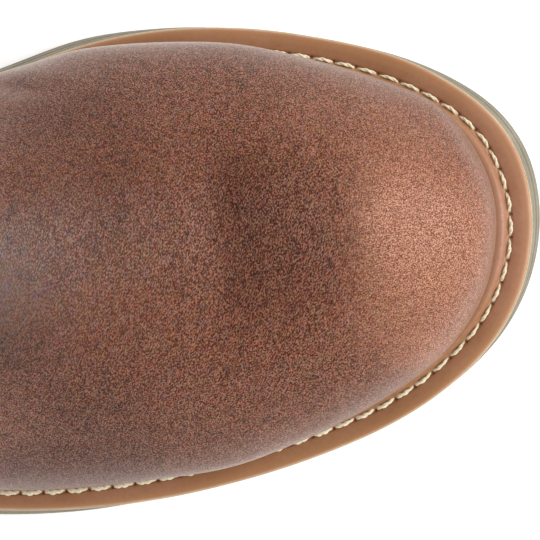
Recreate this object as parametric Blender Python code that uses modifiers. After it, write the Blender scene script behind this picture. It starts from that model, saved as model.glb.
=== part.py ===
"""Right-foot wellington work boot: lugged outsole, midsole, welt, hollow leather upper, insole and trims.

Sizes are in millimetres. +X points to the toe, +Y to the inner (medial) side of the foot, +Z up.
The heel's back is at x = 0 while the pieces are worked out, and an empty then puts the boot's
bottom centre on the world origin.
"""

import math

import bmesh
import bpy
import numpy as np
from mathutils import Matrix

MM = 0.001

# Driving sizes
SOLE_LENGTH = 310.0
GAP = 0.3                   # clearance between pieces that touch on the real boot
MIDSOLE_THICK = 4.0
WELT_SETBACK = 0.45         # the midsole's edge shows this far outside the welt
UPPER_WALL = 2.4
INSOLE_THICK = 4.0
STATIONS = 60               # points around every plan loop, from heel round the medial side
FEATHER_RISE = 6.2          # the upper stands straight for this height inside the welt
BULGE_HEIGHT = 0.25         # share of the section's height where the upper is widest
SECTION_POWER = 2.05        # fullness of the upper's cross section
SECTION_ROOT = 2.2
SHAFT_AXIS_Y = -2.0
INSOLE_EDGE = 1.0           # bevel of the insole's top edge


def table(columns, rows):
    """A table as a dictionary of arrays, one for each named column."""
    return dict(zip(columns.split(), np.array(rows, dtype=float).T))


# Plan of the sole: its edge on both sides, how far it shows outside the midsole,
# how far the upper's foot line lies inside the midsole's edge, and how far the upper bulges past it
PLAN = table(
    "x      medial  lateral  reach_m  reach_l  foot_m  foot_l  bulge_m  bulge_l", (
    (0.0,   -0.5,   -0.5,    0.9,     0.9,     7.6,    7.6,    0.0,     0.0),
    (6.0,   19.6,   -20.4,   0.9,     0.9,     7.6,    7.6,    1.0,     1.0),
    (20.0,  31.6,   -33.0,   0.9,     0.9,     7.6,    7.6,    1.5,     1.5),
    (42.0,  35.8,   -37.4,   0.9,     0.9,     7.6,    7.6,    2.0,     2.0),
    (68.0,  32.6,   -38.2,   1.0,     0.9,     7.6,    7.5,    3.0,     2.2),
    (95.0,  27.0,   -42.0,   1.2,     1.0,     7.8,    7.4,    5.5,     2.6),
    (120.0, 25.6,   -49.4,   1.4,     1.2,     8.0,    7.2,    8.5,     3.0),
    (145.0, 29.6,   -57.6,   1.7,     1.4,     7.8,    7.0,    9.0,     3.0),
    (165.0, 35.8,   -61.8,   1.9,     1.4,     7.7,    6.9,    8.4,     2.7),
    (183.0, 42.4,   -63.2,   2.0,     1.4,     7.6,    6.9,    8.1,     2.3),
    (202.0, 49.2,   -62.4,   1.9,     0.9,     7.6,    6.9,    6.7,     2.2),
    (221.0, 51.8,   -59.3,   0.8,     0.1,     7.7,    7.0,    5.0,     2.7),
    (240.0, 51.7,   -55.0,   0.3,     0.1,     8.1,    7.2,    4.6,     4.1),
    (258.0, 49.5,   -49.2,   0.3,     0.1,     8.3,    7.4,    3.2,     3.3),
    (277.0, 45.1,   -40.7,   0.7,     0.2,     8.4,    7.5,    2.3,     1.9),
    (291.0, 39.0,   -31.0,   1.65,    0.4,     8.4,    7.9,    2.7,     1.9),
    (301.0, 31.4,   -20.6,   2.3,     0.95,    8.7,    8.0,    0.8,     0.7),
    (306.5, 23.4,   -10.8,   2.5,     1.5,     8.8,    8.1,    0.0,     0.0),
    (310.0, 7.0,    7.0,     2.25,    2.25,    8.6,    8.6,    0.0,     0.0)))

# Side view of the sole: the tread under it and the seat on top of it
SOLE_SIDE = table(
    "x      tread  seat", (
    (0.0,   0.0,   31.0),
    (30.0,  0.0,   30.8),
    (62.0,  0.0,   28.6),
    (92.0,  0.0,   24.4),
    (122.0, 0.0,   18.8),
    (152.0, 0.0,   13.8),
    (185.0, 0.0,   10.9),
    (215.0, 0.0,   10.3),
    (246.0, 0.0,   10.6),
    (266.0, 1.4,   12.2),
    (286.0, 5.0,   15.7),
    (300.0, 8.8,   19.2),
    (310.0, 12.0,  22.2)))

# Side wall of the outsole from its top edge down: drop under the seat, share of the reach, cut into the wall
OUTSOLE_WALL = table(
    "drop  lean  cut", (
    (0.0,  0.0,  0.3),
    (0.5,  0.15, 0.0),
    (2.6,  0.45, 0.0),
    (3.0,  0.5,  0.5),
    (3.8,  0.6,  0.5),
    (4.2,  0.65, 0.0),
    (6.6,  1.0,  0.0),
    (7.2,  1.0,  0.9)))
TREAD_EDGE_RISE = 0.9       # bevel around the tread
TREAD_EDGE_CUT = 1.0
TREAD_FOOT_CUT = 1.9

# Heel breast and arch, cut through the sole from the side
ARCH = table(
    "x       z", (
    (80.0,   -6.0),
    (80.0,   10.0),
    (83.0,   13.2),
    (90.0,   14.2),
    (106.0,  12.6),
    (123.0,  9.6),
    (140.0,  6.2),
    (156.0,  3.0),
    (169.0,  0.8),
    (177.0,  -0.6),
    (182.0,  -6.0)))

# Tread grooves: where the first lies, their spacing, number, sweep over the sole's half width and middle line
GROOVE_WIDTH = 4.6
GROOVE_DEPTH = 2.8
GROOVE_REACH = 80.0         # the cutting bars run out past the sole's edge
SOLE_HALF_WIDTH = 60.0
CUT_BELOW = -8.0            # cutters start under the floor
CUT_HALF_WIDTH = 90.0
GROOVE_SETS = table(
    "first  pitch  count  sweep  middle", (
    (15.0,  14.5,  4,     10.0,  -1.0),
    (193.0, 13.0,  8,     -15.0, -4.0)))

# Cross section of the welt: inset from its outer edge, or from its inner one where from_inner is 1,
# and height over the midsole
WELT_SECTION = table(
    "from_inner  inset  height", (
    (0,          0.0,   0.3),
    (0,          0.0,   3.0),
    (0,          0.5,   3.4),
    (1,          3.9,   3.6),
    (1,          3.5,   2.9),
    (1,          2.5,   2.9),
    (1,          2.1,   4.4),
    (1,          1.4,   5.4),
    (1,          0.6,   5.5),
    (1,          0.0,   4.6),
    (1,          0.0,   0.3)))

# Rings of the upper from foot line to collar: back and front points in side view, middle line at the
# front, half widths of the shaft and the shaft's share in the ring's form; the first two rings follow the sole
RINGS = table(
    "back_x back_z  front_x  front_z  front_y  medial  lateral  shaft", (
    (8.5,   35.6,   299.1,   23.8,    6.6,     33.0,   33.0,    0.0),
    (8.5,   41.8,   299.1,   30.0,    6.6,     33.0,   33.0,    0.0),
    (6.2,   51.0,   298.6,   37.5,    6.4,     33.0,   33.0,    0.0),
    (4.8,   60.0,   295.6,   45.5,    6.0,     33.0,   33.0,    0.0),
    (4.2,   69.0,   289.0,   53.0,    5.6,     33.0,   33.0,    0.0),
    (4.6,   77.0,   277.0,   58.8,    5.0,     33.0,   33.0,    0.03),
    (5.8,   85.0,   260.0,   63.2,    4.4,     33.5,   33.5,    0.08),
    (7.4,   92.5,   240.0,   67.8,    3.6,     34.5,   34.5,    0.17),
    (9.2,   100.5,  217.0,   74.5,    2.4,     36.0,   36.0,    0.3),
    (11.2,  109.0,  194.0,   84.5,    1.0,     37.5,   38.0,    0.46),
    (13.2,  119.0,  173.0,   98.5,    -0.4,    39.0,   39.5,    0.65),
    (14.8,  132.0,  158.0,   117.0,   -1.2,    41.0,   41.0,    0.86),
    (15.4,  149.0,  149.0,   141.0,   -1.8,    43.0,   43.0,    1.0),
    (14.8,  174.0,  144.6,   171.0,   -2.0,    45.5,   45.5,    1.0),
    (13.0,  206.0,  143.0,   205.0,   -2.0,    48.5,   48.5,    1.0),
    (10.4,  241.0,  144.0,   241.0,   -2.0,    51.0,   51.0,    1.0),
    (8.0,   275.0,  146.5,   275.0,   -2.0,    53.0,   53.0,    1.0)))
TOP_RING = len(RINGS["back_x"]) - 1
LAST_RIDGE_RING = 11        # above it the ridge line turns up into the shaft
RIDGE_SLOPE = 1.45          # rise of the foot's ridge line behind that ring, and how fast it steepens
RIDGE_STEEPENING = 0.012
FINE_RINGS_FROM = 1
FINE_RINGS_TO = 9

# Collar binding: how far it reaches down in rings, offset from the upper's outside and height over the collar
BINDING_RINGS = 0.4
BINDING_SECTION = table(
    "offset  height", (
    (0.3,    -13.0),
    (1.5,    -13.0),
    (1.6,    -0.2),
    (0.5,    1.7),
    (-2.9,   1.7),
    (-4.0,   -0.2),
    (-3.9,   -13.0),
    (-2.7,   -13.0),
    (-2.7,   0.3),
    (0.3,    0.3)))

# Side seam strip: its line in side view and its cross section
SEAM_X_BOTTOM = 96.0
SEAM_X_TOP = 80.0
SEAM_FIRST_RING = 1.0
SEAM_LAST_RING = 15.6
SEAM_HALF_WIDTH = 3.2
SEAM_SECTION = table(
    "across  offset", (
    (-3.2,   0.3),
    (-2.8,   1.0),
    (-1.2,   1.5),
    (1.2,    1.5),
    (2.8,    1.0),
    (3.2,    0.3)))

# Colour and roughness of each piece
FINISH = {
    "outsole": ((0.40, 0.34, 0.26), 0.7),
    "midsole": ((0.72, 0.62, 0.46), 0.7),
    "welt": ((0.37, 0.18, 0.10), 0.5),
    "upper": ((0.20, 0.09, 0.06), 0.45),
    "insole": ((0.45, 0.33, 0.22), 0.8),
    "collar_binding": ((0.12, 0.055, 0.035), 0.5),
    "side_seam_medial": ((0.17, 0.075, 0.05), 0.5),
    "side_seam_lateral": ((0.17, 0.075, 0.05), 0.5),
}


def smooth(at, knots, values):
    """Cubic curve through the knots, with parabolic slopes."""
    steps = np.diff(knots)
    slopes = np.diff(values) / steps
    inner = (slopes[:-1] * steps[1:] + slopes[1:] * steps[:-1]) / (steps[:-1] + steps[1:])
    tangents = np.concatenate(([slopes[0]], inner, [slopes[-1]]))
    return hermite(at, knots, values, tangents)


def steady(at, knots, values):
    """Cubic curve through the knots that never swings past them."""
    slopes = np.diff(values) / np.diff(knots)
    product = slopes[:-1] * slopes[1:]
    total = np.where(np.abs(slopes[:-1] + slopes[1:]) > 0.0, slopes[:-1] + slopes[1:], 1.0)
    inner = np.where(product > 0.0, 2.0 * product / total, 0.0)
    tangents = np.concatenate(([slopes[0]], inner, [slopes[-1]]))
    return hermite(at, knots, values, tangents)


def hermite(at, knots, values, tangents):
    place = np.clip(np.searchsorted(knots, at, side="right") - 1, 0, len(knots) - 2)
    step = knots[place + 1] - knots[place]
    t = np.clip((at - knots[place]) / step, 0.0, 1.0)
    start = (1 + 2 * t) * (1 - t) ** 2 * values[place] + t * (1 - t) ** 2 * step * tangents[place]
    end = t ** 2 * (3 - 2 * t) * values[place + 1] + t ** 2 * (t - 1) * step * tangents[place + 1]
    return start + end


def around(turn, medial, lateral):
    """A plan column as a closed smooth function of the turn: 0 at the heel, pi at the toe."""
    row_turn = np.arccos(1.0 - 2.0 * PLAN["x"] / SOLE_LENGTH)
    knots = np.concatenate((row_turn, 2.0 * math.pi - row_turn[-2:0:-1]))
    values = np.concatenate((PLAN[medial], PLAN[lateral][-2:0:-1]))
    before = knots[-3:] - 2.0 * math.pi
    after = knots[:3] + 2.0 * math.pi
    knots = np.concatenate((before, knots, after))
    values = np.concatenate((values[-3:], values, values[:3]))
    return smooth(turn, knots, values)


def sole_edge(turn):
    x = SOLE_LENGTH / 2.0 * (1.0 - np.cos(turn))
    return np.stack((x, around(turn, "medial", "lateral")), axis=1)


def inset(turn, distance):
    """The sole's edge moved inward along its normals."""
    small = 0.001
    along = sole_edge(turn + small) - sole_edge(turn - small)
    along /= np.linalg.norm(along, axis=1)[:, None]
    inward = np.stack((along[:, 1], -along[:, 0]), axis=1)
    return sole_edge(turn) + inward * np.broadcast_to(distance, turn.shape)[:, None]


def reach(turn):
    return around(turn, "reach_m", "reach_l")


def foot_inset(turn):
    """From the sole's edge to the line where the upper's outside meets the midsole."""
    return reach(turn) + around(turn, "foot_m", "foot_l")


def seat(x):
    return steady(x, SOLE_SIDE["x"], SOLE_SIDE["seat"])


def tread(x):
    return steady(x, SOLE_SIDE["x"], SOLE_SIDE["tread"])


def midsole_top(x):
    return seat(x) + GAP + MIDSOLE_THICK


def station_turns():
    return np.arange(STATIONS) * 2.0 * math.pi / STATIONS


def ring_value(name, ring):
    return smooth(ring, np.arange(TOP_RING + 1.0), RINGS[name])


class Foot:
    """Half widths and ridge of the upper's foot, as functions of x."""

    def __init__(self):
        turn = np.linspace(0.0, math.pi, 400)
        medial = inset(turn, foot_inset(turn))
        lateral = inset(2.0 * math.pi - turn, foot_inset(2.0 * math.pi - turn))
        self.medial = medial
        self.lateral = lateral
        self.bulge_medial = np.maximum(around(turn, "bulge_m", "bulge_l"), 0.0)
        self.bulge_lateral = np.maximum(around(2.0 * math.pi - turn, "bulge_m", "bulge_l"), 0.0)
        ring = np.linspace(FINE_RINGS_FROM, LAST_RIDGE_RING, 600)
        self.ridge_x = ring_value("front_x", ring)[::-1]
        self.ridge_z = ring_value("front_z", ring)[::-1]
        self.ridge_y = ring_value("front_y", ring)[::-1]

    def side(self, x, on_medial):
        line = self.medial if on_medial else self.lateral
        return np.interp(x, line[:, 0], line[:, 1])

    def bulge(self, x, on_medial):
        if on_medial:
            return np.interp(x, self.medial[:, 0], self.bulge_medial)
        return -np.interp(x, self.lateral[:, 0], self.bulge_lateral)

    def ridge(self, x):
        behind = np.maximum(self.ridge_x[0] - x, 0.0)
        return np.interp(x, self.ridge_x, self.ridge_z) + behind * (RIDGE_SLOPE + RIDGE_STEEPENING * behind)

    def middle(self, x):
        return np.interp(x, self.ridge_x, self.ridge_y)


FOOT = Foot()


def upper_ring(ring, turn):
    """Points of the upper's outside on one ring; ring 0 is the foot line and TOP_RING the collar."""
    foot_line = inset(turn, foot_inset(turn))
    heel = FOOT.medial[0, 0]
    toe = FOOT.medial[-1, 0]
    share = np.clip((foot_line[:, 0] - heel) / (toe - heel), 0.0, 1.0)
    on_medial = np.sin(turn) >= 0.0
    back_x = ring_value("back_x", ring)
    front_x = ring_value("front_x", ring)
    shaft = ring_value("shaft", ring)
    x = back_x + (front_x - back_x) * share
    if ring <= FINE_RINGS_FROM:
        x = foot_line[:, 0]
        z = midsole_top(x) + GAP + FEATHER_RISE * ring
        return np.stack((x, foot_line[:, 1], z), axis=1)
    base = midsole_top(x) + GAP
    back_lift = ring_value("back_z", ring) - (midsole_top(back_x) + GAP)
    front_lift = ring_value("front_z", ring) - (midsole_top(front_x) + GAP)
    along_sole = base + back_lift + (front_lift - back_lift) * share
    level = ring_value("back_z", ring) + (ring_value("front_z", ring) - ring_value("back_z", ring)) * share
    z = along_sole * (1.0 - shaft) + level * shaft

    foot_x = x + (heel - back_x) * (1.0 - share)
    height = np.maximum(FOOT.ridge(x) - base - FEATHER_RISE, 0.1)
    u = np.clip((z - base - FEATHER_RISE) / height, 0.0, 1.0)
    u[share >= 1.0] = 1.0
    section = (1.0 - u ** SECTION_POWER) ** (1.0 / SECTION_ROOT)
    swell = u / BULGE_HEIGHT * np.exp(1.0 - u / BULGE_HEIGHT)
    y = np.zeros_like(x)
    for medial, half in ((True, "medial"), (False, "lateral")):
        pick = on_medial == medial
        middle = FOOT.middle(x[pick])
        edge = FOOT.side(foot_x[pick], medial) + FOOT.bulge(foot_x[pick], medial) * swell[pick]
        foot_y = middle + (edge - middle) * section[pick]
        sign = 1.0 if medial else -1.0
        oval = 2.0 * np.sqrt(share[pick] * (1.0 - share[pick]))
        shaft_y = SHAFT_AXIS_Y + sign * ring_value(half, ring) * oval
        y[pick] = foot_y * (1.0 - shaft) + shaft_y * shaft
    return np.stack((x, y, z), axis=1)


def upper_ring_places():
    """The foot's rings lie closer than the shaft's."""
    fine = np.arange(FINE_RINGS_FROM, FINE_RINGS_TO, 0.5)
    coarse = np.arange(FINE_RINGS_TO, TOP_RING + 1)
    return np.concatenate(([0.0], fine, coarse))


def finish(name):
    colour, roughness = FINISH[name]
    material = bpy.data.materials.new(name + "_finish")
    material.use_nodes = True
    shader = material.node_tree.nodes["Principled BSDF"]
    shader.inputs["Base Color"].default_value = (*colour, 1.0)
    shader.inputs["Roughness"].default_value = roughness
    shader.inputs["Metallic"].default_value = 0.0
    return material


def add_object(name, vertices, faces, collection):
    mesh = bpy.data.meshes.new(name)
    mesh.from_pydata([tuple(point) for point in np.asarray(vertices) * MM], [], faces)
    mesh.update()
    piece = bpy.data.objects.new(name, mesh)
    collection.objects.link(piece)
    return piece


def face_outward(piece):
    shape = bmesh.new()
    shape.from_mesh(piece.data)
    bmesh.ops.recalc_face_normals(shape, faces=shape.faces)
    shape.to_mesh(piece.data)
    shape.free()


def ring_faces(count, around_count, closed_rows=False):
    """Quads between rows of points; each row is a closed ring."""
    faces = []
    last = count if closed_rows else count - 1
    for row in range(last):
        for place in range(around_count):
            beside = (place + 1) % around_count
            above = (row + 1) % count
            faces.append((row * around_count + place, above * around_count + place,
                          above * around_count + beside, row * around_count + beside))
    return faces


def cap_faces(first, count):
    """Strips across a plan loop, from the medial to the lateral side."""
    faces = [(first, first + 1, first + count - 1)]
    half = count // 2
    for place in range(1, half - 1):
        faces.append((first + place, first + place + 1, first + count - place - 1, first + count - place))
    faces.append((first + half - 1, first + half, first + half + 1))
    return faces


def slab(name, rings, collection):
    """A closed body between its first and last ring."""
    around_count = len(rings[0])
    faces = ring_faces(len(rings), around_count)
    faces += cap_faces(0, around_count)
    faces += cap_faces((len(rings) - 1) * around_count, around_count)
    piece = add_object(name, np.concatenate(rings), faces, collection)
    face_outward(piece)
    return piece


def hoop(name, rings, collection):
    """A closed ring body whose rows run around it."""
    piece = add_object(name, np.concatenate(rings), ring_faces(len(rings), len(rings[0]), True), collection)
    face_outward(piece)
    return piece


def with_height(plan, z):
    return np.column_stack((plan, z))


def cut(piece, cutter):
    change = piece.modifiers.new("cut_" + cutter.name, "BOOLEAN")
    change.operation = "DIFFERENCE"
    change.solver = "EXACT"
    change.object = cutter


def prism(name, outline, low, high, collection):
    """A closed body over a flat outline, from the low to the high points."""
    count = len(outline)
    vertices = [(*point, z) for point, z in zip(outline, low)]
    vertices += [(*point, z) for point, z in zip(outline, high)]
    faces = [tuple(range(count)), tuple(range(count, 2 * count))]
    for place in range(count):
        beside = (place + 1) % count
        faces.append((place, beside, count + beside, count + place))
    piece = add_object(name, vertices, faces, collection)
    face_outward(piece)
    return piece


def arch_cutter(collection):
    """The space under the waist, drawn in side view and run across the whole sole."""
    side_view = [(x, z) for x, z in zip(ARCH["x"], ARCH["z"])]
    ends = [[end * CUT_HALF_WIDTH] * len(side_view) for end in (-1.0, 1.0)]
    piece = prism("arch_cutter", side_view, *ends, collection)
    piece.data.transform(Matrix.Rotation(math.pi / 2.0, 4, "X"))
    return piece


def groove_cutter(collection):
    """All tread grooves in one body: swept bars across the tread."""
    bars = []
    for row in range(len(GROOVE_SETS["first"])):
        first, pitch, count, sweep, middle = (GROOVE_SETS[key][row] for key in GROOVE_SETS)
        for place in range(int(count)):
            x = first + pitch * place
            back = x - GROOVE_WIDTH / 2.0
            front = x + GROOVE_WIDTH / 2.0
            swept = sweep * GROOVE_REACH / SOLE_HALF_WIDTH
            inner = middle + GROOVE_REACH
            outer = middle - GROOVE_REACH
            outline = ((back, middle), (back + swept, inner), (front + swept, inner),
                       (front, middle), (front + swept, outer), (back + swept, outer))
            roof = tread(np.array([point[0] for point in outline])) + GROOVE_DEPTH
            bars.append(prism("groove_bar", outline, [CUT_BELOW] * len(outline), roof, collection))
    joined = bmesh.new()
    for bar in bars:
        joined.from_mesh(bar.data)
        bpy.data.objects.remove(bar)
    mesh = bpy.data.meshes.new("groove_cutter")
    joined.to_mesh(mesh)
    joined.free()
    cutter = bpy.data.objects.new("groove_cutter", mesh)
    collection.objects.link(cutter)
    return cutter


def make_outsole(collection, cutters):
    turn = station_turns()
    rings = []
    for drop, lean, depth in zip(OUTSOLE_WALL["drop"], OUTSOLE_WALL["lean"], OUTSOLE_WALL["cut"]):
        plan = inset(turn, reach(turn) * (1.0 - lean) + depth)
        rings.append(with_height(plan, seat(plan[:, 0]) - drop))
    for rise, depth in ((TREAD_EDGE_RISE, TREAD_EDGE_CUT), (0.0, TREAD_FOOT_CUT)):
        plan = inset(turn, depth)
        rings.append(with_height(plan, tread(plan[:, 0]) + rise))
    outsole = slab("outsole", rings, collection)
    cut(outsole, arch_cutter(cutters))
    cut(outsole, groove_cutter(cutters))
    return outsole


def make_midsole(collection):
    turn = station_turns()
    plan = inset(turn, reach(turn))
    low = with_height(plan, seat(plan[:, 0]) + GAP)
    high = with_height(plan, midsole_top(plan[:, 0]))
    return slab("midsole", [low, high], collection)


def make_welt(collection):
    turn = station_turns()
    outer = reach(turn) + WELT_SETBACK
    inner = foot_inset(turn) - GAP
    rings = []
    for from_inner, distance, height in zip(*WELT_SECTION.values()):
        plan = inset(turn, inner - distance if from_inner else outer + distance)
        rings.append(with_height(plan, midsole_top(plan[:, 0]) + height))
    return hoop("welt", rings, collection)


def make_upper(collection):
    turn = station_turns()
    rings = [upper_ring(ring, turn) for ring in upper_ring_places()]
    faces = ring_faces(len(rings), STATIONS)
    upper = add_object("upper", np.concatenate(rings), faces, collection)
    wall = upper.modifiers.new("leather_wall", "SOLIDIFY")
    wall.thickness = UPPER_WALL * MM
    wall.offset = -1.0
    wall.use_even_offset = True
    return upper


def make_insole(collection):
    turn = station_turns()
    edge = foot_inset(turn) + UPPER_WALL + GAP
    rings = []
    for distance, height in ((0.0, GAP), (0.0, INSOLE_THICK - INSOLE_EDGE), (INSOLE_EDGE, INSOLE_THICK)):
        plan = inset(turn, edge + distance)
        rings.append(with_height(plan, midsole_top(plan[:, 0]) + height))
    return slab("insole", rings, collection)


def make_binding(collection):
    """A folded band over the collar's edge."""
    turn = station_turns()
    collar = upper_ring(float(TOP_RING), turn)
    below = upper_ring(TOP_RING - BINDING_RINGS, turn)
    up = collar - below
    up /= np.linalg.norm(up, axis=1)[:, None]
    along = np.roll(collar, -1, axis=0) - np.roll(collar, 1, axis=0)
    out = np.cross(up, along)
    out /= np.linalg.norm(out, axis=1)[:, None]
    rings = []
    for offset, height in zip(BINDING_SECTION["offset"], BINDING_SECTION["height"]):
        rings.append(collar + out * offset + up * height)
    return hoop("collar_binding", rings, collection)


def facet_ring(ring):
    """Points of the upper's facets at any height: straight lines between its modelled rings."""
    places = upper_ring_places()
    above = int(np.searchsorted(places, ring))
    if places[above] == ring:
        return upper_ring(ring, station_turns())
    share = (ring - places[above - 1]) / (places[above] - places[above - 1])
    low = upper_ring(places[above - 1], station_turns())
    high = upper_ring(places[above], station_turns())
    return low + (high - low) * share


def facet_point(ring, x, on_medial):
    """Point at x on the facets of one ring, and the ring's direction there."""
    points = facet_ring(ring)
    half = STATIONS // 2
    line = points[:half + 1] if on_medial else np.concatenate((points[half:], points[:1]))[::-1]
    point = np.array([np.interp(x, line[:, 0], line[:, axis]) for axis in range(3)])
    after = np.array([np.interp(x + SEAM_HALF_WIDTH, line[:, 0], line[:, axis]) for axis in range(3)])
    before = np.array([np.interp(x - SEAM_HALF_WIDTH, line[:, 0], line[:, axis]) for axis in range(3)])
    return point, after - before


def make_side_seam(side, collection):
    """A strip over the join of the front and back leathers, laid on the upper's facets."""
    on_medial = side == "medial"
    places = [ring for ring in upper_ring_places() if SEAM_FIRST_RING <= ring < SEAM_LAST_RING]
    places.append(SEAM_LAST_RING)
    lines = []
    for ring in places:
        share = (ring - SEAM_FIRST_RING) / (SEAM_LAST_RING - SEAM_FIRST_RING)
        x = SEAM_X_BOTTOM + (SEAM_X_TOP - SEAM_X_BOTTOM) * share
        lines.append((ring, x, *facet_point(ring, x, on_medial)))
    vertices = []
    for place, (ring, x, point, along) in enumerate(lines):
        up = lines[min(place + 1, len(lines) - 1)][2] - lines[max(place - 1, 0)][2]
        out = np.cross(along, up) if not on_medial else np.cross(up, along)
        out /= np.linalg.norm(out)
        for across, offset in zip(SEAM_SECTION["across"], SEAM_SECTION["offset"]):
            vertices.append(facet_point(ring, x + across, on_medial)[0] + out * offset)
    count = len(SEAM_SECTION["across"])
    faces = [tuple(range(count)), tuple(range((len(lines) - 1) * count, len(lines) * count))]
    faces += ring_faces(len(lines), count)
    piece = add_object("side_seam_" + side, vertices, faces, collection)
    face_outward(piece)
    return piece


def clear_scene():
    for item in list(bpy.data.objects):
        bpy.data.objects.remove(item)
    for collection in list(bpy.data.collections):
        bpy.data.collections.remove(collection)


def main():
    clear_scene()
    boot = bpy.data.collections.new("wellington_work_boot")
    cutters = bpy.data.collections.new("cutters")
    for collection in (boot, cutters):
        bpy.context.scene.collection.children.link(collection)

    pieces = [make_outsole(boot, cutters), make_midsole(boot), make_welt(boot), make_upper(boot),
              make_insole(boot), make_binding(boot), make_side_seam("medial", boot),
              make_side_seam("lateral", boot)]

    edge = sole_edge(station_turns())
    middle = (edge.max(axis=0) + edge.min(axis=0)) / 2.0
    stand = bpy.data.objects.new("boot_bottom_centre", None)
    stand.location = (-middle[0] * MM, -middle[1] * MM, 0.0)
    boot.objects.link(stand)
    for piece in pieces:
        piece.data.materials.append(finish(piece.name))
        piece.parent = stand
    for cutter in cutters.objects:
        cutter.parent = stand
        cutter.hide_render = True
        cutter.display_type = "WIRE"


main()
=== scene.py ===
"""Looks of the right-foot wellington work boot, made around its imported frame.

Sizes are in millimetres unless a comment says otherwise, in the part's own working frame: the heel's back
at x = 0, +X to the toe, +Y to the inner (medial) side of the foot, +Z up. add_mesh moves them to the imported
frame.
"""

import math
import random

import bmesh
import bpy
import numpy as np
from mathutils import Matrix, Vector, noise


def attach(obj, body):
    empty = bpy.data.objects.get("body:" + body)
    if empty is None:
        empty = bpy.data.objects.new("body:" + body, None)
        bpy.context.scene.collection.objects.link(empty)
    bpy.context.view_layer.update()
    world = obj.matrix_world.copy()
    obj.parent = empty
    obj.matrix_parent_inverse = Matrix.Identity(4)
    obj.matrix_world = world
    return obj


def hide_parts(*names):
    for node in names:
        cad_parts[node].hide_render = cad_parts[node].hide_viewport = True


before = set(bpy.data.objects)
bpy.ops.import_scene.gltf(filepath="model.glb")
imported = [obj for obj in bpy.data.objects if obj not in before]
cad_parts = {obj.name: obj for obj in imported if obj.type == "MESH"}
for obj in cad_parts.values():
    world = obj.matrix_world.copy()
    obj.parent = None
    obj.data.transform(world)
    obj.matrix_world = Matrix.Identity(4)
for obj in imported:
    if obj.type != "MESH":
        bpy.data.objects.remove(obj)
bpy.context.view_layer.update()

MM = 0.001

# Driving sizes
SOLE_LENGTH = 310.0
GAP = 0.3                   # clearance between pieces that touch on the real boot
MIDSOLE_THICK = 4.0
WELT_SETBACK = 0.45         # the midsole's edge shows this far outside the welt
UPPER_WALL = 2.4
INSOLE_THICK = 4.0
STATIONS = 360              # points around every plan loop, from heel round the medial side
FEATHER_RISE = 6.2          # the upper stands straight for this height inside the welt
BULGE_HEIGHT = 0.25         # share of the section's height where the upper is widest
SECTION_POWER = 2.05        # fullness of the upper's cross section
SECTION_ROOT = 2.2
SHAFT_AXIS_Y = -2.0
INSOLE_EDGE = 1.0           # bevel of the insole's top edge
TIP_ROUNDING = 0.5          # how fast the upper's rings fall away from the toe's tip
LEAST_HEIGHT = 0.1          # of the upper's section at the toe's tip
FOOT_SAMPLES = 400          # points of the foot line and of the ridge that values are looked up in
RIDGE_SAMPLES = 600
NORMAL_STEP = 0.001         # turn to both sides that gives the direction of the sole's edge


def table(columns, rows):
    """A table as a dictionary of arrays, one for each named column."""
    return dict(zip(columns.split(), np.array(rows, dtype=float).T))


# Plan of the sole: its edge on both sides, how far it shows outside the midsole,
# how far the upper's foot line lies inside the midsole's edge, and how far the upper bulges past it
PLAN = table(
    "x      medial lateral reach_m reach_l foot_m foot_l bulge_m bulge_l", (
    (0,     -0.5,  -0.5,   0.9,    0.9,    7.6,   7.6,   0,      0),
    (6,     19.6,  -20.4,  0.9,    0.9,    7.6,   7.6,   1,      1),
    (20,    31.6,  -33,    0.9,    0.9,    7.6,   7.6,   1.5,    1.5),
    (42,    35.8,  -37.4,  0.9,    0.9,    7.6,   7.6,   2,      2),
    (68,    32.6,  -38.2,  1,      0.9,    7.6,   7.5,   3,      2.2),
    (95,    27,    -42,    1.2,    1,      7.8,   7.4,   5.5,    2.6),
    (120,   25.6,  -49.4,  1.4,    1.2,    8,     7.2,   8.5,    3),
    (145,   29.6,  -57.6,  1.7,    1.4,    7.8,   7,     9,      3),
    (165,   35.8,  -61.8,  1.9,    1.4,    7.7,   6.9,   8.4,    2.7),
    (183,   42.4,  -63.2,  2,      1.4,    7.6,   6.9,   8.1,    2.3),
    (202,   49.2,  -62.4,  1.9,    0.9,    7.6,   6.9,   6.7,    2.2),
    (221,   51.8,  -59.3,  0.8,    0.1,    7.7,   7,     5,      2.7),
    (240,   51.7,  -55,    0.3,    0.1,    8.1,   7.2,   4.6,    4.1),
    (258,   49.5,  -49.2,  0.3,    0.1,    8.3,   7.4,   3.2,    3.3),
    (277,   45.1,  -40.7,  0.7,    0.2,    8.4,   7.5,   2.3,    1.9),
    (291,   39,    -31,    1.65,   0.4,    8.4,   7.9,   2.7,    1.9),
    (301,   31.4,  -20.6,  2.3,    0.95,   8.7,   8,     0.8,    0.7),
    (306.5, 23.4,  -10.8,  2.5,    1.5,    8.8,   8.1,   0,      0),
    (310,   7,     7,      2.25,   2.25,   8.6,   8.6,   0,      0)))

# Side view of the sole: the tread under it and the seat on top of it
SOLE_SIDE = table(
    "x    tread seat", (
    (0,   0,    31),
    (30,  0,    30.8),
    (62,  0,    28.6),
    (92,  0,    24.4),
    (122, 0,    18.8),
    (152, 0,    13.8),
    (185, 0,    10.9),
    (215, 0,    10.3),
    (246, 0,    10.6),
    (266, 1.4,  12.2),
    (286, 5,    15.7),
    (300, 8.8,  19.2),
    (310, 12,   22.2)))

# Heel breast and arch, cut through the sole from the side
ARCH = table(
    "x    z", (
    (80,  -6),
    (80,  10),
    (83,  13.2),
    (90,  14.2),
    (106, 12.6),
    (123, 9.6),
    (140, 6.2),
    (156, 3),
    (169, 0.8),
    (177, -0.6),
    (182, -6)))

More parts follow.
